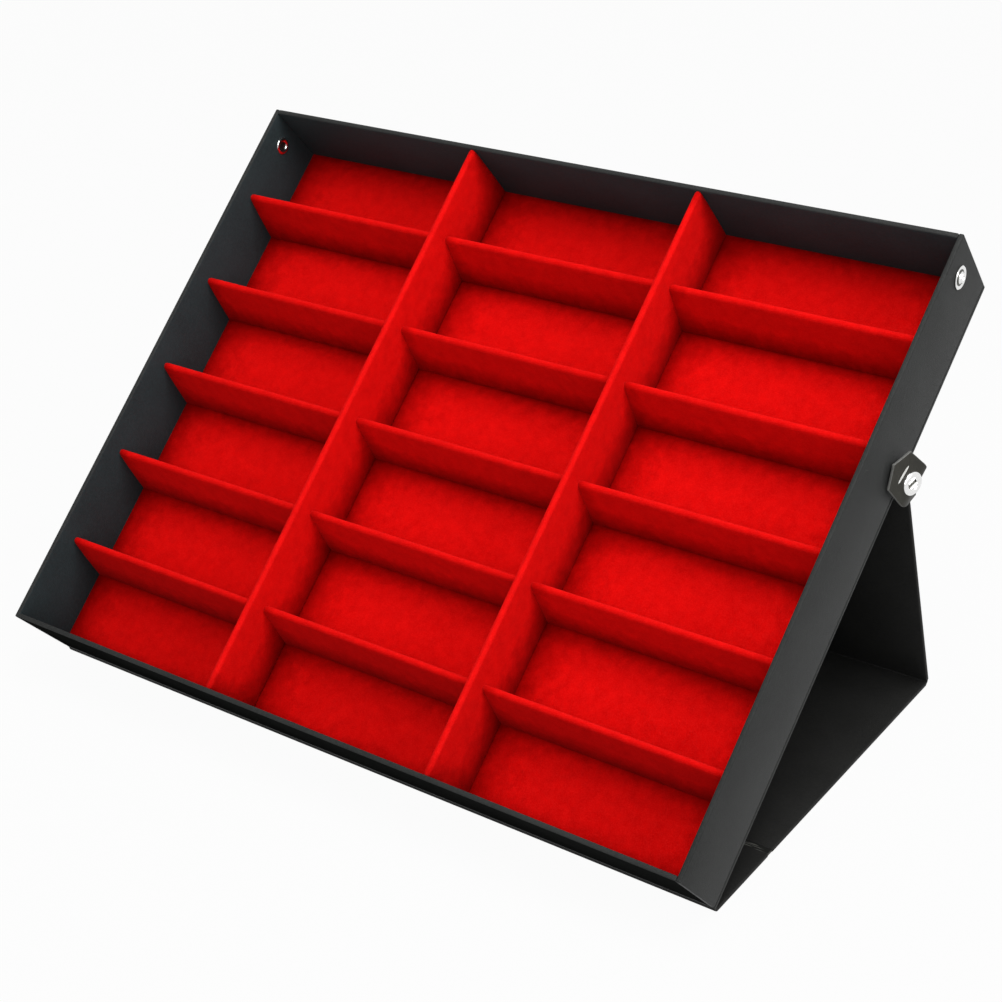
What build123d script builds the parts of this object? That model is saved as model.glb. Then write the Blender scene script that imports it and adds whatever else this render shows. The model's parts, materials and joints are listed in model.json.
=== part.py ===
from build123d import *
import math
import os

os.makedirs("parts", exist_ok=True)

# A shallow display tray for eyeglasses, standing on its own folded cover like an easel.
# World frame in mm: X across the tray, Y to the back, Z up, the cover lying on Z = 0.

# Tray
tray_width = 485.0        # across, outside
tray_length = 373.5       # along the slope, outside
tray_depth = 55.0         # rim to back, outside
wall = 3.0                # walls of the tray
back_board = 3.0          # board that closes the back
pad_thickness = 6.0       # padded velvet floor
edge_round = 0.8          # folded leatherette edges
pad_round = 1.5           # soft edge of the floor pad

# Velvet dividers
divider = 4.3             # thickness with its velvet
divider_round = 2.0       # soft top edge
long_drop = 0.5           # long dividers end this far under the rim
cross_drop = 12.3         # cross dividers end this far under the rim
cross_lean = 8.8          # their top edge lies this far up the slope from their foot
columns = 3
rows = 6
first_row = 55.0          # top wall to the first cross divider, at its top edge
last_row = 58.1           # bottom wall to the last one, at its top edge

# Cover boards, measured from crease to crease
cover = 2.5               # board thickness
cover_inset = 0.5         # narrower than the tray on each side
cover_short = 2.25        # closed, it ends this far from the top of the tray
spine_length = 58.25
base_length = 195.5
crease_gap = 2.0          # each board stops this far from the crease line
crease_bead = 1.1         # rolled leatherette in the crease
crease_web = 1.0
crease_inset = 0.5        # the rolls end this far inside the boards' sides
prop_at = 260.0           # the rear board props the tray this far up its back
prop_gap = 0.5            # its free edge to the back of the tray

# Crease between tray and spine, seen from the back bottom edge of the tray
hinge_out = 1.75
hinge_down = 1.5
flap_length = 25.0        # leatherette glued under the back
flap_thickness = 0.6
flap_lip = 0.3

# Snap studs riveted through the side walls
stud_drop = 17.5          # under the rim
rivet_post = 1.6
rivet_clearance = 0.1
rivet_end = 0.6
stud_flange = 6.5
flange_high = 0.8
stud_knob = 2.7
knob_high = 1.5
eyelet_outer = 5.5
eyelet_inner = 2.4
eyelet_high = 1.0

# Leather tabs that close over the studs
tab_width = 30.0
tab_tip = 14.0
tab_length = 35.0
tab_shoulder = 10.0       # length of the slanting corners at the tip
tab_thickness = 1.6
tab_axis_out = 3.5        # tab crease outside the side wall
tab_skew = 28.0           # the tab folds over on a slanting line
tab_neck = 18.0           # length of that line
tab_bead = 1.15
tab_from_end = 14.0       # tab centre from the free edge of the rear board
root_out = 0.5            # tab root outside the side wall
root_thickness = 1.7
root_length = 24.0
root_lip = 0.6            # the root reaches this far past the fold
socket_outer = 6.8
socket_hole = 3.4
socket_high = 1.6
cap_radius = 6.0
cap_crown = 3.6          # flat top of the domed cap
cap_high = 1.5
cap_edge = 0.5
snap_bevel = 0.5

# Derived positions
half_width = tray_width / 2
inner_width = tray_width - 2 * wall
inner_length = tray_length - 2 * wall
wall_height = tray_depth - back_board
floor_level = -wall_height + pad_thickness
cell_width = (inner_width - (columns - 1) * divider) / columns
row_pitch = (inner_length - first_row - last_row) / (rows - 2)

# Closed, the cover reaches over the rim and the tabs hang from it over the studs
cover_width = tray_width - 2 * cover_inset
rear_length = tray_length - cover_short + hinge_out - base_length
cover_above_rim = spine_length - tray_depth - hinge_down
tab_snap = stud_drop + cover_above_rim
stud_y = tray_length - cover_short - tab_from_end

# Open, the base on the table, the rear board and the back of the tray make a triangle
base_reach = spine_length + base_length
prop_off = hinge_down - prop_gap
prop_reach = math.hypot(prop_at, prop_off)
rear_reach = math.hypot(rear_length, cover / 2)
at_hinge = math.acos((base_reach**2 + prop_reach**2 - rear_reach**2) / (2 * base_reach * prop_reach))
at_crease = math.acos((base_reach**2 + rear_reach**2 - prop_reach**2) / (2 * base_reach * rear_reach))
lean = at_hinge - math.atan2(prop_off, prop_at)
rear_angle = math.pi - at_crease - math.atan2(cover / 2, rear_length)

# The tray hangs over its hinge in front and behind, and the origin is under its middle
front_reach = hinge_out * math.cos(lean) - (tray_depth + hinge_down) * math.sin(lean)
back_reach = (tray_length + hinge_out) * math.cos(lean) - hinge_down * math.sin(lean)
hinge_y = -(front_reach + back_reach) / 2
hinge_z = cover / 2
tray_y = hinge_y + front_reach
tray_z = hinge_z + hinge_out * math.sin(lean) + (tray_depth + hinge_down) * math.cos(lean)


def slope_plane(y, z, angle):
    # local x across, local y along the given direction, local z square to both
    return Plane(origin=(0, y, z), x_dir=(1, 0, 0), z_dir=(0, -math.sin(angle), math.cos(angle)))


def side_plane(base, x):
    # square to X at x, with local x and y the local y and z of the base plane
    return Plane(origin=base.from_local_coords(Vector(x, 0, 0)), x_dir=base.y_dir, z_dir=(1, 0, 0))


def outward_plane(base, x, y, z, side):
    # local z points out of the left or right side
    return Plane(origin=base.from_local_coords(Vector(x, y, z)), x_dir=base.y_dir, z_dir=(side, 0, 0))


def save(piece, name):
    piece.part.label = name
    export_step(piece.part, f"parts/{name}.step")


tray_plane = slope_plane(tray_y, tray_z, lean)
spine_plane = slope_plane(hinge_y, hinge_z, 0.0)
base_plane = slope_plane(hinge_y + spine_length, hinge_z, 0.0)
rear_plane = slope_plane(hinge_y + base_reach, hinge_z, rear_angle)
tray_up = Axis(origin=(0, 0, 0), direction=tray_plane.z_dir)
tray_slope = Axis(origin=(0, 0, 0), direction=tray_plane.y_dir)

# Back of the tray
with BuildPart(tray_plane) as tray_back:
    with Locations((0, tray_length / 2, -tray_depth + back_board / 2)):
        Box(tray_width, tray_length, back_board)
save(tray_back, "tray_back")

# Top and bottom walls stand between the side walls
for name, y in (("wall_bottom", wall / 2), ("wall_top", tray_length - wall / 2)):
    with BuildPart(tray_plane) as end_wall:
        with Locations((0, y, -wall_height / 2)):
            Box(inner_width, wall, wall_height)
        rim = end_wall.edges().filter_by(Axis.X).group_by(tray_up)[-1]
        fillet(rim, edge_round)
    save(end_wall, name)

# Side walls, each with the hole of its snap rivet
for name, side in (("wall_left", -1), ("wall_right", 1)):
    with BuildPart(tray_plane) as side_wall:
        with Locations((side * (half_width - wall / 2), tray_length / 2, -wall_height / 2)):
            Box(wall, tray_length, wall_height)
        rim = side_wall.edges().filter_by(tray_slope).group_by(tray_up)[-1]
        fillet(rim, edge_round)
        with BuildSketch(side_plane(tray_plane, side * half_width)):
            with Locations((stud_y, -stud_drop)):
                Circle(rivet_post + rivet_clearance)
        extrude(amount=-side * wall, mode=Mode.SUBTRACT)
    save(side_wall, name)

# Padded velvet floor
with BuildPart(tray_plane) as floor_pad:
    with Locations((0, tray_length / 2, floor_level - pad_thickness / 2)):
        Box(inner_width, inner_length, pad_thickness)
    fillet(floor_pad.faces().sort_by(tray_up)[-1].edges(), pad_round)
save(floor_pad, "floor_pad")

# Long dividers run from the top wall to the bottom wall
long_height = -long_drop - floor_level
long_x = [-inner_width / 2 + (i + 1) * cell_width + (i + 0.5) * divider for i in range(columns - 1)]
for name, x in zip(("divider_long_left", "divider_long_right"), long_x):
    with BuildPart(tray_plane) as long_divider:
        with Locations((x, tray_length / 2, floor_level + long_height / 2)):
            Box(divider, inner_length, long_height)
        top = long_divider.edges().filter_by(tray_slope).group_by(tray_up)[-1]
        fillet(top, divider_round)
    save(long_divider, name)

# Cross dividers lean up the slope, so that the glasses lie in a pocket
for row in range(rows - 1):
    top_y = tray_length - wall - first_row - row * row_pitch
    foot_y = top_y - cross_lean
    shoulder = -cross_drop - divider / 2
    for column in range(columns):
        start = -inner_width / 2 + column * (cell_width + divider)
        with BuildPart() as cross_divider:
            with BuildSketch(side_plane(tray_plane, start)):
                with BuildLine():
                    foot = Polyline(
                        (top_y - divider / 2, shoulder),
                        (foot_y - divider / 2, floor_level),
                        (foot_y + divider / 2, floor_level),
                        (top_y + divider / 2, shoulder),
                    )
                    ThreePointArc(foot @ 1, (top_y, -cross_drop), foot @ 0)
                make_face()
            extrude(amount=cell_width)
        save(cross_divider, f"divider_r{row + 1}c{column + 1}")

# Snap stud outside each side wall, riveted through it into an eyelet inside
for name, side in (("left", -1), ("right", 1)):
    with BuildPart(outward_plane(tray_plane, side * half_width, stud_y, -stud_drop, side)) as stud:
        Cylinder(stud_flange, flange_high, align=(Align.CENTER, Align.CENTER, Align.MIN))
        with Locations((0, 0, flange_high)):
            Cylinder(stud_knob, knob_high, align=(Align.CENTER, Align.CENTER, Align.MIN))
        knob_edge = stud.edges().filter_by(GeomType.CIRCLE).sort_by(Axis.X)[-1 if side > 0 else 0]
        chamfer(knob_edge, snap_bevel)
        with Locations((0, 0, -wall - rivet_end)):
            Cylinder(rivet_post, wall + rivet_end, align=(Align.CENTER, Align.CENTER, Align.MIN))
    save(stud, f"stud_{name}")

    inside = side * (half_width - wall)
    with BuildPart(outward_plane(tray_plane, inside, stud_y, -stud_drop, -side)) as eyelet:
        Cylinder(eyelet_outer, eyelet_high, align=(Align.CENTER, Align.CENTER, Align.MIN))
        Cylinder(eyelet_inner, eyelet_high, align=(Align.CENTER, Align.CENTER, Align.MIN), mode=Mode.SUBTRACT)
    save(eyelet, f"eyelet_{name}")

# Leatherette glued under the back, where the cover hangs on the tray
with BuildPart(tray_plane) as hinge_flap:
    with Locations((0, (flap_length - flap_lip) / 2, -tray_depth - flap_thickness / 2)):
        Box(cover_width, flap_length + flap_lip, flap_thickness)
save(hinge_flap, "hinge_flap")

# Cover boards: the spine covers the bottom wall, the other two cover the rim
spans = (
    ("spine_board", spine_plane, crease_gap, spine_length - crease_gap),
    ("base_board", base_plane, crease_gap, base_length - crease_gap),
    ("rear_board", rear_plane, crease_gap, rear_length),
)
for name, plane, start, end in spans:
    with BuildPart(plane) as board:
        with Locations((0, (start + end) / 2, 0)):
            Box(cover_width, end - start, cover)
        fillet(board.edges().filter_by(Axis.X), edge_round)
    save(board, name)

# Rolled leatherette in the three creases, each fixed to one board
rolls = (
    ("crease_tray", spine_plane, 0.0, 1),
    ("crease_front", base_plane, 0.0, 1),
    ("crease_back", base_plane, base_length, -1),
)
roll_length = cover_width - 2 * crease_inset
for name, plane, at, towards in rolls:
    with BuildPart() as crease:
        with BuildSketch(side_plane(plane, -roll_length / 2)):
            with Locations((at, 0)):
                Circle(crease_bead)
            with Locations((at + towards * crease_gap / 2, 0)):
                Rectangle(crease_gap, crease_web)
        extrude(amount=roll_length)
    save(crease, name)

# Tabs, drawn closed with the tip down over the side wall and then folded over the slanting line
tab_y = rear_length - tab_from_end
skew = math.radians(tab_skew)


def on_fold(distance):
    return (tab_y + distance * math.cos(skew), -distance * math.sin(skew))


def folded(along, down):
    # mirror a point of the closed tab across the fold line
    turn = -2 * skew
    x = along * math.cos(turn) + down * math.sin(turn)
    y = along * math.sin(turn) - down * math.cos(turn)
    return (tab_y + x, y)


shoulder_y = -tab_length + tab_shoulder
half_tab = tab_width / 2
tab_outline = [
    on_fold(-tab_neck / 2),
    on_fold(tab_neck / 2),
    folded(half_tab, -half_tab * math.tan(skew) - 1.0),
    folded(half_tab, shoulder_y),
    folded(tab_tip / 2, -tab_length),
    folded(-tab_tip / 2, -tab_length),
    folded(-half_tab, shoulder_y),
    folded(-half_tab, -1.0),
]
root_outline = [
    (tab_y - root_length / 2, -cover / 2),
    (tab_y - root_length / 2, cover / 2),
    (on_fold(-tab_neck / 2)[0], on_fold(-tab_neck / 2)[1] + root_lip),
    (tab_y + root_length / 2, cover / 2),
    (tab_y + root_length / 2, -cover / 2),
    (on_fold(tab_neck / 2)[0], on_fold(tab_neck / 2)[1] - root_lip),
]
snap_y, snap_z = folded(0, -tab_snap)
for name, side in (("left", -1), ("right", 1)):
    # the root is glued to the side of the rear board and reaches out to the fold
    root_x = half_width + root_out + root_thickness / 2
    reach = half_width + root_out - cover_width / 2
    with BuildPart() as tab_root:
        with BuildSketch(side_plane(rear_plane, side * root_x)):
            with BuildLine():
                Polyline(*root_outline, close=True)
            make_face()
        extrude(amount=root_thickness / 2, both=True)
        with BuildSketch(side_plane(rear_plane, side * cover_width / 2)):
            with Locations((tab_y, 0)):
                Rectangle(root_length, cover)
        extrude(amount=side * (reach + root_thickness / 2))
    save(tab_root, f"tab_root_{name}")

    fold_x = side * (half_width + tab_axis_out)
    with BuildPart() as tab:
        with BuildSketch(side_plane(rear_plane, fold_x)):
            with BuildLine():
                Polyline(*tab_outline, close=True)
            make_face()
        extrude(amount=tab_thickness / 2, both=True)
        fold_start = rear_plane.from_local_coords(Vector(fold_x, *on_fold(-tab_neck / 2)))
        fold_end = rear_plane.from_local_coords(Vector(fold_x, *on_fold(tab_neck / 2)))
        with BuildSketch(Plane(origin=fold_start, z_dir=fold_end - fold_start)):
            Circle(tab_bead)
        extrude(amount=tab_neck)
    save(tab, f"tab_{name}")

    # socket on the face that closes over the stud, domed cap on the other face
    face = half_width + tab_axis_out + tab_thickness / 2
    with BuildPart(outward_plane(rear_plane, side * face, snap_y, snap_z, side)) as socket:
        Cylinder(socket_outer, socket_high, align=(Align.CENTER, Align.CENTER, Align.MIN))
        Cylinder(socket_hole, socket_high, align=(Align.CENTER, Align.CENTER, Align.MIN), mode=Mode.SUBTRACT)
        outer = socket.edges().filter_by(GeomType.CIRCLE).group_by(Axis.X)[-1 if side > 0 else 0]
        chamfer(outer, snap_bevel)
    save(socket, f"socket_{name}")

    face = half_width + tab_axis_out - tab_thickness / 2
    with BuildPart(outward_plane(rear_plane, side * face, snap_y, snap_z, -side)) as cap:
        Cylinder(cap_radius, cap_edge, align=(Align.CENTER, Align.CENTER, Align.MIN))
        with Locations((0, 0, cap_edge)):
            Cone(cap_radius, cap_crown, cap_high - cap_edge, align=(Align.CENTER, Align.CENTER, Align.MIN))
    save(cap, f"cap_{name}")
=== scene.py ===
import bmesh
import bpy
import json
import math
from mathutils import Matrix, Vector, noise


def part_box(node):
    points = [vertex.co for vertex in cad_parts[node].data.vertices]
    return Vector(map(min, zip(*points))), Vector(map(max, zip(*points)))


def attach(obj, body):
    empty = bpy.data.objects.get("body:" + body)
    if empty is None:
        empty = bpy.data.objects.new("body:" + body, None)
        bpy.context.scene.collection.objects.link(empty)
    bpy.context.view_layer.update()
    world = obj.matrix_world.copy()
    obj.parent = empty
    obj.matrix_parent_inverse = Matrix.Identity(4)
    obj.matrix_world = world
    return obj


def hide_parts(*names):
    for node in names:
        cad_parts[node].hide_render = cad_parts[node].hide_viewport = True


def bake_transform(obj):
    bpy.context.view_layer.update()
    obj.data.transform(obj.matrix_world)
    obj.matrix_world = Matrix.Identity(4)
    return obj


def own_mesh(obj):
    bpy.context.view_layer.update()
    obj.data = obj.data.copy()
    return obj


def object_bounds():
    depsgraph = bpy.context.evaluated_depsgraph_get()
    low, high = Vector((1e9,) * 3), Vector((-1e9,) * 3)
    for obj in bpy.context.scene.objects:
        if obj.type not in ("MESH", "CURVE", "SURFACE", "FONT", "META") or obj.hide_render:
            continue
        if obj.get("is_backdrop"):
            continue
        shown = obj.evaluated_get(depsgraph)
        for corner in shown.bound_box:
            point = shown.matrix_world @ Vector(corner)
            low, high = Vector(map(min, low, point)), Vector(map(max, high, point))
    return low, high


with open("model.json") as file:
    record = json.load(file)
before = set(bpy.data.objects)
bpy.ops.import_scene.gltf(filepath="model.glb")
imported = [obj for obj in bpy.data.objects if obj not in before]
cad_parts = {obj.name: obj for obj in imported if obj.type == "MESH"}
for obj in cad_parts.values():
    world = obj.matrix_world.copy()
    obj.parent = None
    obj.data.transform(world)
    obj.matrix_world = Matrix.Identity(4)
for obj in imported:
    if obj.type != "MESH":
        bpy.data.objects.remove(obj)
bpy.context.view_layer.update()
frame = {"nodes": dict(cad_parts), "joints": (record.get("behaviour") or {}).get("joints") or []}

# A leatherette display tray for eyeglasses with red velvet pockets, leaning on its folded cover.
# Sizes come from the CAD pieces. Everything here is in metres.
mm = 0.001

# Leatherette and board
edge_radius = 0.8 * mm
edge_steps = 3

# Velvet
divider_fullness = 0.25 * mm   # the faces of a divider bow out this far
divider_steps = 24             # mesh steps along a divider
face_steps = 5                 # up its face
round_steps = 8                # and round its top
end_rings = (0.0, 0.6 * mm, 1.6 * mm)
corner_tuck = 0.6 * mm         # the corners are this much smaller at the very end
tuck_reach = 1.5 * mm          # and come to full size here
waver_from = 4 * mm            # the velvet wavers from here on
pad_crown = 1.1 * mm           # a pocket's floor stands this far over its edges
pad_squareness = 5             # how flat the middle of a pocket's floor is
pad_steps_across, pad_steps_up = 32, 16
nap_waver = 0.12 * mm          # unevenness of the glued velvet
divider_waves, rise_waves, pad_waves = 45, 30, 30   # waves of it in a metre
shaded_foot = 0.55            # painted shade on the velvet reaches up to this share of a divider's height
shaded_end = 14 * mm          # and this far from its ends
end_unshaded = 0.45                # at an end, this share of the colour is left free of painted shade

# Crease skins
skin_thickness = 1.3 * mm
skin_overlap = 1.6 * mm        # the skin runs this far onto each board
skin_inset = 0.3 * mm          # and ends this far inside their sides
skin_steps, skin_pieces = 14, 24   # round a crease and along it

# Leather tabs. Open, each is a pointed strap that runs out from the rear board to a knee, and from
# there leans in towards the side wall. Distances along the strap are from the knee
strap_half = 13.2 * mm         # half its width at the knee
shoulder_half = 12.0 * mm
shoulder = 19.0 * mm           # from the knee to where the point starts
point = 6.5 * mm
tab_thickness = 1.6 * mm
root_half = 7.5 * mm
root_shift = 4.5 * mm          # the root stands this far above the middle of the fold
root_sunk = 1.5 * mm           # the root starts this far inside the rear board
knee_skew = math.radians(34)   # between the knee and the fold line
strap_lean = math.radians(4.5)
strap_out = 8.7 * mm           # the plane of the strap stands this far out over the fold line
spring_in = math.radians(18)   # and leans in at this angle
snap_from_edge = 19.25 * mm    # socket to the edge of the rear board, closed
snap_from_knee = 5.3 * mm
knee_round = 4 * mm
bend_from = 0.7                # the bend starts at this share of the way to the knee
strap_step = 1.5 * mm
strap_steps = 8                # mesh steps in each curve of a tab
ring_steps = 8                 # and across its strap
edge_ease = 0.35 * mm          # its edges are eased over this width
edge_height = 0.4              # to this share of its thickness
shoulder_lead = 0.4 * mm
# A pale strip across a tab, a painted highlight
glint_length = 11 * mm
glint_width = 1.5 * mm
glint_at = 15 * mm
glint_rise = 0.1 * mm           # the painted highlight stands this far out of the strap
# The root's way from inside the rear board's side to the fold line. Each step gives the share of its
# turn towards that line, its place out from the line, as a share of the way to the board's side and
# a distance more, and its distance away from the line
root_path = ((0, 1, -root_sunk, 0), (0, 1, 0, 0), (0.4, 0.5, 0, -0.5 * mm), (0.8, 0.15, 0, -0.3 * mm),
             (1, 0, 0, 0), (1, 0, 0.3 * mm, 0.8 * mm))

# Press snaps, as (radius, height) in mm above what carries them
stud_profile = ((6.5, 0.0), (6.5, 0.5), (6.1, 0.85), (5.3, 0.8), (4.6, 0.35), (3.9, 0.35), (3.4, 0.9),
                (3.0, 1.3), (2.9, 1.8), (2.7, 2.2), (2.1, 2.3), (1.3, 2.2), (1.0, 1.5), (0.0, 1.4))
socket_profile = ((6.8, 0.0), (6.8, 0.7), (6.4, 1.25), (5.6, 1.6), (4.6, 1.55), (3.6, 1.2), (3.1, 0.7),
                  (3.0, 0.15), (0.0, 0.15))
cap_profile = ((6.0, 0.0), (6.0, 0.4), (5.4, 0.9), (4.2, 1.25), (2.4, 1.45), (0.0, 1.5))
eyelet_profile = ((5.5, 0.0), (5.5, 0.45), (5.0, 0.85), (4.2, 1.0), (3.4, 0.85), (2.7, 0.4), (2.4, 0.05),
                  (0.0, 0.05))
# The steps of a profile that take the dark metal, painted shade in its recesses and round the stud's rim
stud_shaded, eyelet_shaded, socket_shaded = (0, 4, 5, 12), (5, 6), (6, 7)
mouth_radius = 3.3 * mm        # of the socket, where its two springs end
spring_wire = 0.9 * mm
spring_rise = 0.5 * mm
spring_sides = 10
spring_apart = 1.95 * mm
spring_skew = math.radians(21)
turns = 40                     # steps round a snap

# Camera, matched to the photograph's 1002 x 1002 frame
image_size = 1002
focal_px = 1886.2
centre_px = Vector((530.0, 650.0))
camera_place = Vector((0.6207, -0.7776, 0.6444))
camera_azimuth = math.radians(36.90)
camera_elevation = math.radians(32.45)
camera_roll = math.radians(-2.91)
sensor = 36.0

joints = {j["name"]: j for j in frame["joints"]}
nodes = frame["nodes"]
across = Vector((1, 0, 0))


def joint_place(name):
    return Vector(joints[name]["pos_m"])


def turned(place, angle):
    return Matrix.Translation(place) @ Matrix.Rotation(angle, 4, "X")


# Closed, the spine stands square to the tray and the rear board lies over the rim
lean = math.radians(270 + joints["cover_hinge"]["range_deg"][0])
rear_angle = -math.radians(joints["back_crease"]["range_deg"][0])
tray_frame = turned(joint_place("cover_hinge"), lean)
flat_frame = turned(joint_place("cover_hinge"), 0.0)
rear_frame = turned(joint_place("back_crease"), rear_angle)
row_frame = Matrix.Identity(4)


def local_box(where, node):
    # lowest and highest corner of a CAD node in a board's own directions
    back = where.inverted()
    points = [back @ nodes[node].matrix_world @ v.co for v in nodes[node].data.vertices]
    low = Vector([min(p[i] for p in points) for i in range(3)])
    high = Vector([max(p[i] for p in points) for i in range(3)])
    return low, high


# Materials

board_waves = 35 * mm          # sizes of the patterns in them
mottle_size = 1.6 * mm
wear_patch = 9 * mm
crack_size = 1.3 * mm
worn_edge = 0.7 * mm           # leatherette is worn this far round an edge
nap_size = 0.7 * mm
brushed_size = 7 * mm
nap_relief = 0.25 * mm
lit_edge = 1.8 * mm            # a painted highlight lies this far round an edge of the velvet
scratch_size = 0.9 * mm


def new_material(name):
    material = bpy.data.materials.new(name)
    material.use_nodes = True
    tree = material.node_tree
    shader = tree.nodes["Principled BSDF"]
    place = tree.nodes.new("ShaderNodeTexCoord").outputs["Object"]
    return material, tree, shader, place


def add(tree, kind, **sockets):
    node = tree.nodes.new(kind)
    for name, value in sockets.items():
        connect(tree, value, node.inputs[name.replace("_", " ")])
    return node


def connect(tree, value, socket):
    if isinstance(value, bpy.types.NodeSocket):
        tree.links.new(value, socket)
    elif isinstance(value, tuple) and len(value) == 3 and socket.type == "RGBA":
        socket.default_value = (*value, 1.0)
    else:
        socket.default_value = value


def noise_of(tree, place, size, detail=3.0, roughness=0.5):
    node = add(tree, "ShaderNodeTexNoise", Vector=place, Scale=1 / size, Detail=detail,
               Roughness=roughness)
    return node.outputs["Fac"]


def mixed(tree, factor, first, second):
    node = tree.nodes.new("ShaderNodeMix")
    node.data_type = "RGBA"
    connect(tree, factor, node.inputs[0])
    connect(tree, first, node.inputs[6])
    connect(tree, second, node.inputs[7])
    return node.outputs[2]


def maths(tree, operation, first, second):
    node = tree.nodes.new("ShaderNodeMath")
    node.operation = operation
    connect(tree, first, node.inputs[0])
    connect(tree, second, node.inputs[1])
    return node.outputs["Value"]


def ranged(tree, value, low, high, to_low=0.0, to_high=1.0):
    node = add(tree, "ShaderNodeMapRange", Value=value, From_Min=low, From_Max=high, To_Min=to_low,
               To_Max=to_high)
    node.clamp = True
    return node.outputs["Result"]


def edge_mask(tree, radius):
    # 0 on flat faces, rising to 1 along sharp edges, where the rounded normal leans over most
    rounded = add(tree, "ShaderNodeBevel", Radius=radius)
    rounded.samples = 4
    dot = tree.nodes.new("ShaderNodeVectorMath")
    dot.operation = "DOT_PRODUCT"
    tree.links.new(rounded.outputs["Normal"], dot.inputs[0])
    tree.links.new(tree.nodes.new("ShaderNodeNewGeometry").outputs["Normal"], dot.inputs[1])
    return ranged(tree, dot.outputs["Value"], 0.99, 0.8)


def stretched(tree, place, scale):
    node = add(tree, "ShaderNodeMapping", Vector=place)
    node.inputs["Scale"].default_value = scale
    return node.outputs["Vector"]


def scaled(colour, factor):
    return tuple(c * factor for c in colour)


def leatherette(name, colour, worn, pebble=0.55 * mm, roughness=0.5, relief=0.1 * mm, wear=0.5,
                cracked=0.0, shine=0.4):
    # a pebbled and mottled skin over board, worn at its edges, with cracks along a crease
    material, tree, shader, place = new_material(name)
    cells = add(tree, "ShaderNodeTexVoronoi", Vector=place, Scale=1 / pebble).outputs["Distance"]
    fine = noise_of(tree, place, pebble * 0.6, 4.0, 0.6)
    broad = noise_of(tree, place, board_waves, 2.0)
    board = add(tree, "ShaderNodeBump", Height=broad, Distance=0.5 * mm, Strength=0.5).outputs["Normal"]
    height = maths(tree, "ADD", cells, fine)
    pebbles = add(tree, "ShaderNodeBump", Height=height, Distance=relief, Normal=board)
    connect(tree, pebbles.outputs["Normal"], shader.inputs["Normal"])
    colour_now = mixed(tree, ranged(tree, broad, 0.35, 0.65), scaled(colour, 0.75), colour)
    mottle = ranged(tree, noise_of(tree, place, mottle_size, 5.0, 0.7), 0.4, 0.65, 0.0, 0.4)
    colour_now = mixed(tree, mottle, colour_now, scaled(colour, 1.7))
    patches = ranged(tree, noise_of(tree, place, wear_patch), 0.3, 0.7, 0.4 * wear, wear)
    worn_share = maths(tree, "MULTIPLY", edge_mask(tree, worn_edge), patches)
    colour_now = mixed(tree, worn_share, colour_now, worn)
    if cracked:
        lines = noise_of(tree, stretched(tree, place, (0.12, 1.6, 1.6)), crack_size, 2.0)
        colour_now = mixed(tree, ranged(tree, lines, 0.55, 0.68, 0.0, cracked), colour_now, worn)
    connect(tree, colour_now, shader.inputs["Base Color"])
    uneven = ranged(tree, fine, 0.3, 0.7, roughness - 0.06, roughness + 0.06)
    connect(tree, uneven, shader.inputs["Roughness"])
    shader.inputs["Specular IOR Level"].default_value = shine
    return material


def velvet(name, deep, bright, lit):
    # the mesh attribute read here paints shade: 0 where the velvet takes full painted shade, and 1 where
    # it takes none
    material, tree, shader, place = new_material(name)
    nap = noise_of(tree, place, nap_size, 4.0, 0.7)
    brushed = noise_of(tree, place, brushed_size, 4.0, 0.65)
    tone = mixed(tree, ranged(tree, brushed, 0.3, 0.7), deep, bright)
    speckled = mixed(tree, ranged(tree, nap, 0.42, 0.75, 0.0, 0.22), tone, lit)
    # painted highlight: the velvet turns to its lit colour along its edges
    edges = ranged(tree, edge_mask(tree, lit_edge), 0.0, 0.8, 0.0, 0.8)
    edged = mixed(tree, edges, speckled, lit)
    unshaded = tree.nodes.new("ShaderNodeAttribute")
    unshaded.attribute_name = "unshaded"
    ragged = ranged(tree, brushed, 0.3, 0.7, -0.09, 0.09)
    unshaded_share = ranged(tree, maths(tree, "ADD", unshaded.outputs["Fac"], ragged), 0.0, 0.9)
    # painted shade: where the attribute is 0 the velvet darkens to a third of its deep colour
    colour_now = mixed(tree, unshaded_share, scaled(deep, 0.32), edged)
    connect(tree, colour_now, shader.inputs["Base Color"])
    bump = add(tree, "ShaderNodeBump", Height=nap, Distance=nap_relief, Strength=0.7)
    connect(tree, bump.outputs["Normal"], shader.inputs["Normal"])
    shader.inputs["Roughness"].default_value = 0.95
    shader.inputs["Specular IOR Level"].default_value = 0.0
    shader.inputs["Sheen Weight"].default_value = 0.4
    shader.inputs["Sheen Roughness"].default_value = 0.4
    shader.inputs["Sheen Tint"].default_value = (1.0, 0.03, 0.03, 1.0)
    return material


def plated(name, colour, roughness=0.16):
    material, tree, shader, place = new_material(name)
    scratches = noise_of(tree, place, scratch_size)
    uneven = ranged(tree, scratches, 0.3, 0.7, roughness - 0.04, roughness + 0.08)
    connect(tree, uneven, shader.inputs["Roughness"])
    connect(tree, mixed(tree, scratches, scaled(colour, 0.85), colour), shader.inputs["Base Color"])
    shader.inputs["Metallic"].default_value = 1.0
    return material


# name, colour and worn colour; the cover is plainer and blacker than the tray
outer_black = leatherette("leatherette_outer", (0.0172, 0.018, 0.0175), (0.085, 0.085, 0.085),
                          shine=0.1)
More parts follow.
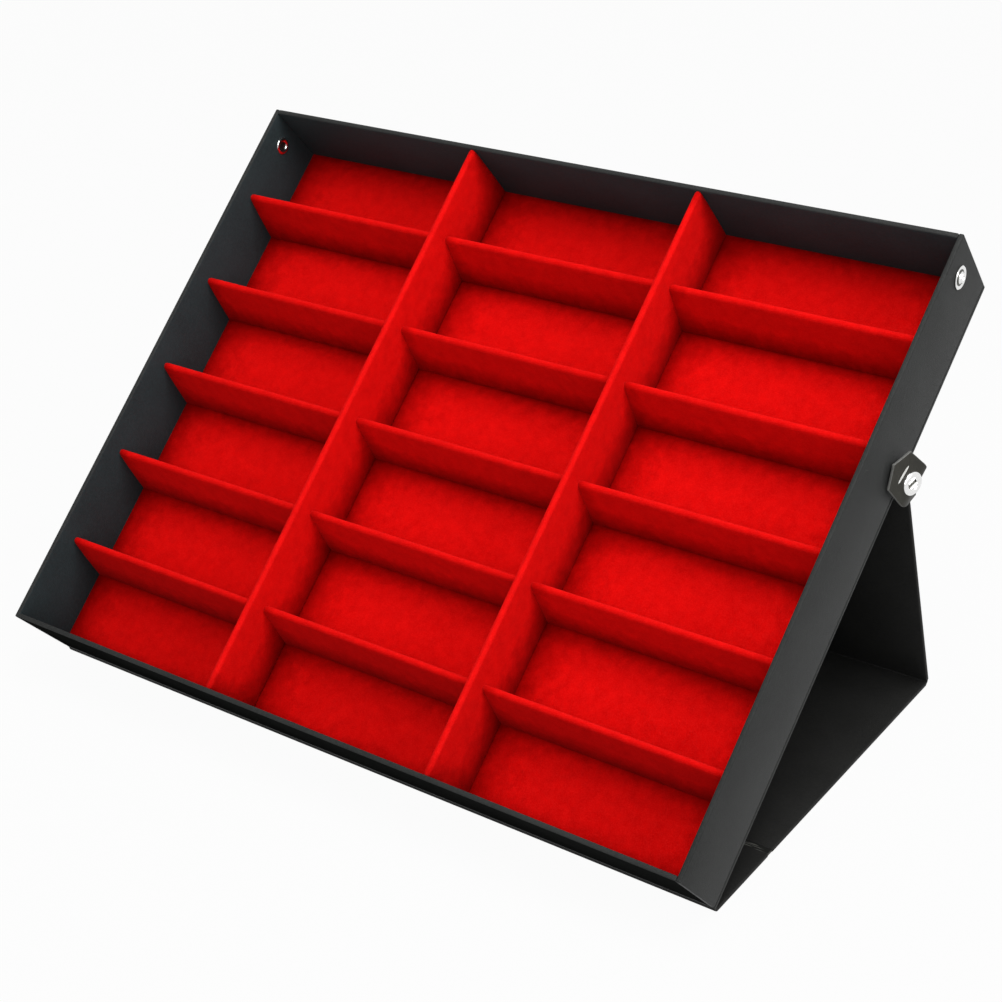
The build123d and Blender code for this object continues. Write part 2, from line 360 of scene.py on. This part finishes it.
# a darker copy of the outer leatherette, painted shade on the bottom wall's face that looks down
shaded_black = leatherette("leatherette_shaded", (0.010, 0.0105, 0.010), (0.04, 0.04, 0.04),
                          roughness=0.75, shine=0.0)
inner_black = leatherette("leatherette_inner", (0.012, 0.019, 0.021), (0.07, 0.07, 0.075),
                          roughness=0.7, shine=0.22)
cover_black = leatherette("leatherette_cover", (0.010, 0.010, 0.0095), (0.06, 0.06, 0.06),
                          roughness=0.6, shine=0.12)
crease_black = leatherette("leatherette_crease", (0.008, 0.008, 0.0075), (0.22, 0.22, 0.20),
                           cracked=0.8, shine=0.15)
tab_black = leatherette("tab_leather", (0.018, 0.017, 0.013), (0.10, 0.10, 0.085), pebble=0.8 * mm,
                        wear=0.7, shine=0.2)
cut_edge = leatherette("tab_cut_edge", (0.10, 0.10, 0.095), (0.2, 0.2, 0.19), pebble=0.3 * mm,
                       wear=0.4)
# near-white leather for a painted highlight on each tab
glint_pale = leatherette("tab_glint", (0.55, 0.55, 0.53), (0.6, 0.6, 0.58), pebble=0.3 * mm)
# name, and the colours of the pile where it lies deep, where it is bright and where it is lit; the lit
# one is also its painted highlight along edges, and a third of the deep one its painted shade
red_velvet = velvet("velvet_red", (0.46, 0.0010, 0.0010), (0.57, 0.0020, 0.0017), (0.87, 0.033, 0.030))
chrome = plated("snap_metal", (0.88, 0.88, 0.87))
# dark metal for the snaps' recesses, painted shade
chrome_shaded = plated("snap_metal_shaded", (0.10, 0.10, 0.09), roughness=0.35)

# Mesh helpers


def make_object(name, mesh, where, materials, body):
    mesh.transform(where)
    for material in materials:
        mesh.materials.append(material)
    for face in mesh.polygons:
        face.use_smooth = True
    mesh.set_sharp_from_angle(angle=math.radians(40))
    piece = bpy.data.objects.new(name, mesh)
    bpy.context.collection.objects.link(piece)
    if body:
        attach(piece, body)
    return piece


def wrapped_board(node, where, materials, body, *ways):
    # a board wrapped in leatherette, with softly rounded edges; the faces that look the first of
    # the ways take the second material, and so on
    low, high = local_box(where, node)
    centre = (low + high) / 2
    size = high - low
    bm = bmesh.new()
    bmesh.ops.create_cube(bm, size=1.0)
    for v in bm.verts:
        v.co = centre + Vector([v.co[i] * size[i] for i in range(3)])
    bmesh.ops.bevel(bm, geom=bm.edges[:], offset=edge_radius, segments=edge_steps, profile=0.5,
                    affect="EDGES")
    for face in bm.faces:
        for index, way in enumerate(ways, 1):
            if face.normal.dot(Vector(way)) > 0.9:
                face.material_index = index
    mesh = bpy.data.meshes.new(f"{node}_wrapped")
    bm.to_mesh(mesh)
    bm.free()
    piece = make_object(f"{node}_wrapped", mesh, where, materials, body)
    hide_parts(node)


def tube_mesh(name, rings, side_faces=()):
    # closed rings of points, joined and capped; side_faces of each ring take the second material
    count = len(rings[0])
    points = [p for ring in rings for p in ring]
    faces, marks = [], []
    for i in range(len(rings) - 1):
        for j in range(count):
            a, b = i * count + j, i * count + (j + 1) % count
            faces.append((a, b, b + count, a + count))
            marks.append(1 if j in side_faces else 0)
    faces.append(tuple(reversed(range(count))))
    faces.append(tuple(range((len(rings) - 1) * count, len(rings) * count)))
    marks += [1 if side_faces else 0] * 2
    mesh = bpy.data.meshes.new(name)
    mesh.from_pydata(points, [], faces)
    for face, mark in zip(mesh.polygons, marks):
        face.material_index = mark
    bm = bmesh.new()
    bm.from_mesh(mesh)
    bmesh.ops.recalc_face_normals(bm, faces=bm.faces)
    bm.to_mesh(mesh)
    bm.free()
    return mesh


# Tray shell

inner_faces = {"tray_back": (0, 0, 1), "wall_bottom": (0, 1, 0), "wall_top": (0, -1, 0),
               "wall_left": (1, 0, 0), "wall_right": (-1, 0, 0)}
for name, inside in inner_faces.items():
    # the bottom wall's outer face looks down at the table and takes a darker copy of the leatherette,
    # painted shade
    ways = (inside, (0, -1, 0)) if name == "wall_bottom" else (inside,)
    wrapped_board(name, tray_frame, (outer_black, inner_black, shaded_black), "tray", *ways)

# Velvet dividers

long_low, long_high = local_box(tray_frame, "divider_long_left")
divider = long_high.x - long_low.x    # its thickness, the same on all of them


def divider_outline(half, height):
    # one side up, over the round top and down the other side
    shares = [k / face_steps for k in range(face_steps + 1)]
    face = [(-half - divider_fullness * math.sin(math.pi * s), height * s) for s in shares]
    angles = [math.pi * k / round_steps for k in range(1, round_steps)]
    arc = [(-half * math.cos(a), height + half * math.sin(a)) for a in angles]
    return face + arc + [(-x, y) for x, y in reversed(face)]


def divider_ring(foot, side, up, outline, tall, distance):
    # near an end of the divider its corners are rounded off
    half = divider / 2
    tuck = corner_tuck * max(0.0, 1 - distance / tuck_reach) ** 2
    steady = min(1.0, distance / waver_from)
    ring = []
    for x, y in outline:
        p = foot + side * x * (1 - tuck / half) + up * (y - tuck * (y / tall) ** 4)
        waver = noise.noise(p * divider_waves + Vector((y * rise_waves, 0, 0))) * nap_waver * y / tall
        ring.append(p + side * waver * steady)
    return ring


def set_unshaded(mesh, height):
    # painted shade at each point, from 0 in full shade to 1 with none
    unshaded = mesh.attributes.new("unshaded", "FLOAT", "POINT")
    for v in mesh.vertices:
        unshaded.data[v.index].value = height(v.co)


def velvet_divider(node, start, end, side, rise):
    # a board in velvet from start to end: its foot on the floor, its round top at rise
    up = rise.normalized()
    outline = divider_outline(divider / 2, rise.length - divider / 2)
    run = end - start
    ends = [d / run.length for d in end_rings]
    middle = [k / divider_steps for k in range(1, divider_steps)]
    shares = ends + middle + [1 - s for s in reversed(ends)]
    rings = []
    for s in shares:
        distance = min(s, 1 - s) * run.length
        rings.append(divider_ring(start + run * s, side, up, outline, rise.length, distance))
    name = f"{node}_velvet"
    mesh = tube_mesh(name, rings)

    # painted shade, darker towards the divider's foot and towards its ends
    def unshaded_share(p):
        height = (p - start).dot(up) / (rise.length * shaded_foot)
        along = (p - start).dot(run.normalized())
        from_end = max(0.0, min(along, run.length - along) / shaded_end)
        return min(1.0, max(0.0, height)) * min(1.0, end_unshaded + (1 - end_unshaded) * from_end)

    set_unshaded(mesh, unshaded_share)
    piece = make_object(name, mesh, tray_frame, (red_velvet,), "tray")
    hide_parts(node)


for node in ("divider_long_left", "divider_long_right"):
    low, high = local_box(tray_frame, node)
    middle = (low.x + high.x) / 2
    start, end = Vector((middle, low.y, low.z)), Vector((middle, high.y, low.z))
    velvet_divider(node, start, end, across, Vector((0, 0, high.z - low.z)))

for node in sorted(n for n in nodes if n.startswith("divider_r")):
    low, high = local_box(tray_frame, node)
    foot_y = low.y + divider / 2
    rise = Vector((0, high.y - divider / 2 - foot_y, high.z - low.z))
    start, end = Vector((low.x, foot_y, low.z)), Vector((high.x, foot_y, low.z))
    velvet_divider(node, start, end, Vector((0, -1, 0)), rise)

# Padded velvet floor, a shallow cushion in each pocket

pad_low, pad_high = local_box(tray_frame, "floor_pad")
long_boxes = [local_box(tray_frame, f"divider_long_{side_name}") for side_name in ("left", "right")]
first_column = sorted(n for n in nodes if n.startswith("divider_r") and n.endswith("c1"))
feet = sorted(local_box(tray_frame, node)[0].y + divider / 2 for node in first_column)
x_lines = [pad_low.x, *[(low.x + high.x) / 2 for low, high in long_boxes], pad_high.x]
y_lines = [pad_low.y, *feet, pad_high.y]


def steps_between(lines, steps):
    values = [a + (b - a) * k / steps for a, b in zip(lines, lines[1:]) for k in range(steps)]
    return values + [lines[-1]]


def fullness(value, lines):
    # 0 on a divider or wall, close to 1 over the rest of a pocket
    for a, b in zip(lines, lines[1:]):
        if a <= value <= b:
            return 1 - abs(2 * (value - a) / (b - a) - 1) ** pad_squareness
    return 0.0


def pad_point(x, y):
    crown = fullness(x, x_lines) * fullness(y, y_lines)
    uneven = noise.noise(Vector((x * pad_waves, y * pad_waves, 0))) * nap_waver
    return Vector((x, y, pad_high.z - pad_crown * (1 - crown) + (uneven - nap_waver) * crown))


def padded_floor():
    xs, ys = steps_between(x_lines, pad_steps_across), steps_between(y_lines, pad_steps_up)
    bm = bmesh.new()
    grid = [[bm.verts.new(pad_point(x, y)) for x in xs] for y in ys]
    for below, above in zip(grid, grid[1:]):
        for k in range(len(xs) - 1):
            bm.faces.new((below[k], below[k + 1], above[k + 1], above[k]))
    sides = bmesh.ops.extrude_edge_only(bm, edges=[e for e in bm.edges if e.is_boundary])["geom"]
    for v in (g for g in sides if isinstance(g, bmesh.types.BMVert)):
        v.co.z = pad_low.z
    bmesh.ops.contextual_create(bm, geom=[e for e in bm.edges if e.is_boundary])
    bmesh.ops.recalc_face_normals(bm, faces=bm.faces)
    mesh = bpy.data.meshes.new("floor_pad_velvet")
    bm.to_mesh(mesh)
    bm.free()
    # painted shade, darker towards the edges of each pocket
    set_unshaded(mesh, lambda p: fullness(p.x, x_lines) * fullness(p.y, y_lines))
    pad = make_object("floor_pad_velvet", mesh, tray_frame, (red_velvet,), "tray")
    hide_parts("floor_pad")


padded_floor()

# Cover boards and the leatherette skins across their creases

wrapped_board("spine_board", flat_frame, (cover_black,), "cover_spine")
wrapped_board("base_board", flat_frame, (cover_black,), "cover_base")
wrapped_board("rear_board", rear_frame, (cover_black,), "cover_rear")


def on_curve(points, share):
    a, b, c = points
    return a * (1 - share) ** 2 + b * 2 * share * (1 - share) + c * share ** 2


def crease_outline(points):
    # the skin's section, as thick all round the curve
    near = 0.01
    upper, lower = [], []
    for k in range(skin_steps + 1):
        share = k / skin_steps
        before = on_curve(points, max(0.0, share - near))
        after = on_curve(points, min(1.0, share + near))
        normal = across.cross(after - before).normalized() * skin_thickness / 2
        upper.append(on_curve(points, share) + normal)
        lower.append(on_curve(points, share) - normal)
    return upper + list(reversed(lower))


def crease_skin(name, node, points, material=cover_black):
    # a strip of leatherette from one board to the next, curved round the crease between them
    board_low, board_high = local_box(flat_frame, "base_board")
    left, right = board_low.x + skin_inset, board_high.x - skin_inset
    places = [left + (right - left) * k / skin_pieces for k in range(skin_pieces + 1)]
    outline = crease_outline(points)
    rings = [[Vector((x, p.y, p.z)) for p in outline] for x in places]
    piece = make_object(name, tube_mesh(name, rings), row_frame, (material,), None)
    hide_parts(node)
    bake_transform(piece)


def near_end(where, node):
    # where the skin before a board ends on it
    return where @ Vector((0, local_box(where, node)[0].y + skin_overlap, 0))


def far_end(where, node):
    # where the skin after a board starts on it
    return where @ Vector((0, local_box(where, node)[1].y - skin_overlap, 0))


flap_low, flap_high = local_box(tray_frame, "hinge_flap")
flap_edge = tray_frame @ Vector((0, flap_low.y + skin_overlap, (flap_low.z + flap_high.z) / 2))
crease_skin("skin_tray", "crease_tray",
            (flap_edge, joint_place("cover_hinge"), near_end(flat_frame, "spine_board")))
crease_skin("skin_front", "crease_front",
            (far_end(flat_frame, "spine_board"), joint_place("front_crease"),
             near_end(flat_frame, "base_board")),
            crease_black)
crease_skin("skin_back", "crease_back",
            (far_end(flat_frame, "base_board"), joint_place("back_crease"),
             near_end(rear_frame, "rear_board")))

# Press snaps


def snap_part(node, profile, place, outward, body, shaded=()):
    # a part turned round outward, standing on place; the profile's steps in its last argument take the
    # dark metal, painted shade
    upright = Vector((0, 0, 1)).rotation_difference(outward)
    turn = Matrix.Translation(place) @ upright.to_matrix().to_4x4()
    points, faces, marks = [], [], []
    for radius, height in profile[:-1]:
        for k in range(turns):
            angle = 2 * math.pi * k / turns
            points.append(Vector((radius * math.cos(angle), radius * math.sin(angle), height)) * mm)
    points.append(Vector((0, 0, profile[-1][1])) * mm)
    for i in range(len(profile) - 2):
        for k in range(turns):
            a, b = i * turns + k, i * turns + (k + 1) % turns
            faces.append((a, b, b + turns, a + turns))
            marks.append(1 if i in shaded else 0)
    last = (len(profile) - 2) * turns
    for k in range(turns):
        faces.append((last + k, last + (k + 1) % turns, len(points) - 1))
        marks.append(1 if len(profile) - 2 in shaded else 0)
    faces.append(tuple(reversed(range(turns))))
    marks.append(0)
    mesh = bpy.data.meshes.new(f"{node}_metal")
    mesh.from_pydata(points, [], faces)
    for face, mark in zip(mesh.polygons, marks):
        face.material_index = mark
    piece = make_object(f"{node}_metal", mesh, turn, (chrome, chrome_shaded), body)
    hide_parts(node)
    return piece


def box_middle(node):
    low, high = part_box(node)
    return (low + high) / 2


wall_low, wall_high = local_box(tray_frame, "wall_right")
for side_name, side in (("left", -1), ("right", 1)):
    middle = box_middle(f"eyelet_{side_name}")
    outside = Vector((side * wall_high.x, middle.y, middle.z))
    inside = Vector((side * wall_low.x, middle.y, middle.z))
    out = across * side
    snap_part(f"stud_{side_name}", stud_profile, outside, out, "tray", stud_shaded)
    snap_part(f"eyelet_{side_name}", eyelet_profile, inside, -out, "tray", eyelet_shaded)

# Leather tabs


class Fold:
    """Directions of one tab: along the fold line, away from it over the wall, and out of the side."""

    def __init__(self, side_name, side):
        self.name, self.side = side_name, side
        self.body = f"tab_{side_name}"
        self.joint = f"tab_fold_{side_name}"
        self.origin = joint_place(self.joint)
        self.along = Vector(joints[self.joint]["axis"]) * side
        self.out = across * side
        self.away = across.cross(self.along)
        self.board_up = rear_frame.to_3x3() @ Vector((0, 1, 0))
        board_skew = self.along.angle(self.board_up)
        # the socket, as distances along and away from the fold line
        self.socket = Vector((math.sin(board_skew), math.cos(board_skew))) * snap_from_edge
        self.normal = self.out * math.cos(spring_in) + self.away * math.sin(spring_in)
        self.down_slope = self.away * math.cos(spring_in) - self.out * math.sin(spring_in)
        self.knee = self.direction(knee_skew, 0.0)
        self.forward = self.direction(knee_skew, math.pi / 2)

    def direction(self, skew, quarter):
        # a direction in the plane of the strap, turned from the fold line
        angle = quarter - skew
        return self.along * math.cos(angle) + self.down_slope * math.sin(angle)

    def at(self, x, ahead, lift=0.0):
        # a point of the flat part: x from its middle line, ahead of the knee, lift over its middle
        seat = self.origin + self.out * strap_out
        seat = seat + self.along * self.socket.x + self.down_slope * self.socket.y
        further = ahead - snap_from_knee
        sideways = self.knee * (x + further * math.tan(strap_lean))
        return seat + sideways + self.forward * further + self.normal * lift

    def flatten(self, piece):
        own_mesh(piece)


def strap_ring(left, right, normal):
    # a flat ring with eased edges between two points
    half = tab_thickness / 2
    wide = right - left
    ease = min(edge_ease, wide.length / 4) / wide.length
    flat = [(ease + (1 - 2 * ease) * k / ring_steps, 1.0) for k in range(ring_steps + 1)]
    top = [(0.0, edge_height), *flat, (1.0, edge_height)]
    upper = [left + wide * x + normal * half * h for x, h in top]
    return upper + [left + wide * x - normal * half * h for x, h in reversed(top)]


# the faces of a ring that are the strap's cut edges: three at one side, and three at the other
right_cut = [ring_steps + 1, ring_steps + 2, ring_steps + 3]
left_cut = [0, 2 * ring_steps + 4, 2 * ring_steps + 5]


def strap(name, fold, edges, body, node):
    # a leather strap between two edge curves, given as pairs of points
    rings = []
    for k, (left, right) in enumerate(edges):
        before, after = edges[max(0, k - 1)], edges[min(len(edges) - 1, k + 1)]
        run = sum(after, Vector()) - sum(before, Vector())
        normal = (right - left).cross(run).normalized() * fold.side
        rings.append(strap_ring(left, right, normal))
    mesh = tube_mesh(name, rings, left_cut + right_cut)
    piece = make_object(name, mesh, row_frame, (tab_black, cut_edge), body)
    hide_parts(node)
    return piece


def half_width(ahead):
    if ahead < shoulder:
        return strap_half + (shoulder_half - strap_half) * ahead / shoulder
    return shoulder_half * max(0.02, 1 - (ahead - shoulder) / point)


def tab_strap(fold):
    # from the fold line to the knee, round it, and on to the point
    start = [fold.origin + fold.along * (root_shift + root_half * side) for side in (-1, 1)]
    knee = [fold.at(side * strap_half, 0.0) for side in (-1, 1)]
    past = [fold.at(side * half_width(knee_round), knee_round) for side in (-1, 1)]
    shares = [k / strap_steps for k in range(strap_steps + 1)]
    edges = [tuple(a.lerp(b, s) for a, b in zip(start, knee)) for s in shares if s < bend_from]
    bends = [(a.lerp(b, bend_from), b, c) for a, b, c in zip(start, knee, past)]
    edges += [tuple(on_curve(bend, s) for bend in bends) for s in shares]
    steps = round((shoulder - knee_round) / strap_step)
    ahead = [knee_round + strap_step * k for k in range(1, steps)]
    ahead += [shoulder - shoulder_lead, shoulder, *[shoulder + point * s for s in shares[1:]]]
    for distance in ahead:
        edges.append(tuple(fold.at(side * half_width(distance), distance) for side in (-1, 1)))
    return strap(f"tab_{fold.name}_strap", fold, edges, fold.body, fold.body)


def root_strap(fold):
    # out of the rear board's side to the fold line, where the tab starts
    board_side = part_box("rear_board")[1].x - abs(fold.origin.x)
    edges = []
    for turned_share, board_share, out, away in root_path:
        wide = (fold.board_up * (1 - turned_share) + fold.along * turned_share).normalized()
        middle = fold.origin + fold.out * (board_side * board_share + out) + fold.away * away
        middle = middle + wide * root_shift
        edges.append((middle - wide * root_half, middle + wide * root_half))
    return strap(f"tab_root_{fold.name}_strap", fold, edges, "cover_rear", f"tab_root_{fold.name}")


def pale_glint(fold):
    # a short pale strip across the strap, a painted highlight
    inner, outer = tab_thickness / 2 - glint_rise, tab_thickness / 2 + glint_rise
    rings = []
    for k in range(strap_steps + 1):
        share = k / strap_steps
        half = glint_width / 2 * math.sqrt(max(0.02, 1 - (2 * share - 1) ** 4))
        corners = ((-half, inner), (-half, outer), (half, outer), (half, inner))
        x = glint_length * (share - 0.5)
        rings.append([fold.at(x, glint_at + ahead, lift) for ahead, lift in corners])
    name = f"tab_{fold.name}_slit"
    return make_object(name, tube_mesh(name, rings), row_frame, (glint_pale,), fold.body)


def socket_spring(fold, sideways, along, offset, seat):
    # one of the two wires across the mouth of the socket
    reach = math.sqrt(mouth_radius ** 2 - offset ** 2)
    angles = [2 * math.pi * k / spring_sides for k in range(spring_sides)]
    round_wire = [(sideways * math.cos(a) + fold.normal * math.sin(a)) * spring_wire for a in angles]
    rings = []
    for k in range(strap_steps + 1):
        middle = seat + sideways * offset + fold.normal * spring_rise
        middle = middle + along * reach * (2 * k / strap_steps - 1)
        rings.append([middle + p for p in round_wire])
    name = f"socket_{fold.name}_spring_{'a' if offset > 0 else 'b'}"
    return make_object(name, tube_mesh(name, rings), row_frame, (chrome,), fold.body)


def tab_snap(fold):
    seat = fold.at(0.0, snap_from_knee, tab_thickness / 2)
    under = fold.at(0.0, snap_from_knee, -tab_thickness / 2)
    along = fold.direction(knee_skew + spring_skew, 0.0)
    sideways = fold.normal.cross(along)
    offsets = (-spring_apart, spring_apart)
    return [snap_part(f"socket_{fold.name}", socket_profile, seat, fold.normal, fold.body, socket_shaded),
            snap_part(f"cap_{fold.name}", cap_profile, under, -fold.normal, fold.body),
            *[socket_spring(fold, sideways, along, offset, seat) for offset in offsets]]


for side_name, side in (("left", -1), ("right", 1)):
    fold = Fold(side_name, side)
    for piece in (tab_strap(fold), root_strap(fold), pale_glint(fold), *tab_snap(fold)):
        fold.flatten(piece)

for slot in nodes["hinge_flap"].material_slots:
    slot.material = outer_black

# Floor, light and camera

floor_reach = 6.0
floor_seen_white = 0.96        # share of the floor that shows as plain white; the rest takes shadow
room_grey = (0.36, 0.36, 0.36)
white = (1.0, 1.0, 1.0)


def background_seen(tree):
    # 1 for rays that show the background itself: to the camera, in gloss and through glass
    path = tree.nodes.new("ShaderNodeLightPath").outputs
    seen = maths(tree, "MAXIMUM", path["Is Camera Ray"], path["Is Glossy Ray"])
    return maths(tree, "MAXIMUM", seen, path["Is Transmission Ray"])


def studio_floor():
    reach = floor_reach
    corners = [(-reach, -reach, 0), (reach, -reach, 0), (reach, reach, 0), (-reach, reach, 0)]
    mesh = bpy.data.meshes.new("floor")
    mesh.from_pydata(corners, [], [(0, 1, 2, 3)])
    material, tree, shader, place = new_material("floor_white")
    tone = mixed(tree, noise_of(tree, place, 400 * mm), (0.30, 0.30, 0.30), (0.33, 0.33, 0.33))
    connect(tree, tone, shader.inputs["Base Color"])
    shader.inputs["Roughness"].default_value = 0.9
    glow = add(tree, "ShaderNodeEmission", Color=white, Strength=1.0)
    mix = tree.nodes.new("ShaderNodeMixShader")
    connect(tree, maths(tree, "MULTIPLY", background_seen(tree), floor_seen_white), mix.inputs[0])
    connect(tree, shader.outputs[0], mix.inputs[1])
    connect(tree, glow.outputs[0], mix.inputs[2])
    connect(tree, mix.outputs[0], tree.nodes["Material Output"].inputs["Surface"])
    mesh.materials.append(material)
    floor = bpy.data.objects.new("floor", mesh)
    bpy.context.collection.objects.link(floor)
    floor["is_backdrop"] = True


def studio_world():
    world = bpy.data.worlds.new("studio")
    bpy.context.scene.world = world
    world.use_nodes = True
    tree = world.node_tree
    background = tree.nodes["Background"]
    connect(tree, mixed(tree, background_seen(tree), room_grey, white), background.inputs["Color"])


def softbox(name, place, target, size, power):
    light = bpy.data.lights.new(name, "AREA")
    light.energy = power
    light.size = size
    lamp = bpy.data.objects.new(name, light)
    lamp.location = place
    lamp.rotation_mode = "QUATERNION"
    lamp.rotation_quaternion = (Vector(target) - Vector(place)).to_track_quat("-Z", "Y")
    bpy.context.collection.objects.link(lamp)


def photograph_camera():
    camera = bpy.data.cameras.new("camera")
    camera.sensor_width = sensor
    camera.sensor_fit = "HORIZONTAL"
    camera.lens = focal_px * sensor / image_size
    camera.shift_x = (image_size / 2 - centre_px.x) / image_size
    camera.shift_y = (centre_px.y - image_size / 2) / image_size
    camera.clip_start = 0.05
    camera.clip_end = 50
    eye = bpy.data.objects.new("camera", camera)
    eye.location = camera_place
    turn = Matrix.Rotation(camera_azimuth, 3, "Z")
    turn = turn @ Matrix.Rotation(math.pi / 2 - camera_elevation, 3, "X")
    turn = turn @ Matrix.Rotation(camera_roll, 3, "Z")
    eye.rotation_mode = "QUATERNION"
    eye.rotation_quaternion = turn.to_quaternion()
    bpy.context.collection.objects.link(eye)
    bpy.context.scene.camera = eye


studio_floor()
studio_world()
softbox("key", place=(0.4, -0.15, 1.6), target=(0, 0, 0.1), size=0.9, power=23)
softbox("front", place=(0.8, -2.0, 1.0), target=(0, 0, 0.1), size=1.4, power=21)
softbox("side", place=(2.0, -0.3, 1.2), target=(0, 0, 0.15), size=1.0, power=20)
photograph_camera()
bpy.context.scene.view_settings.view_transform = "Standard"

low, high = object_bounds()
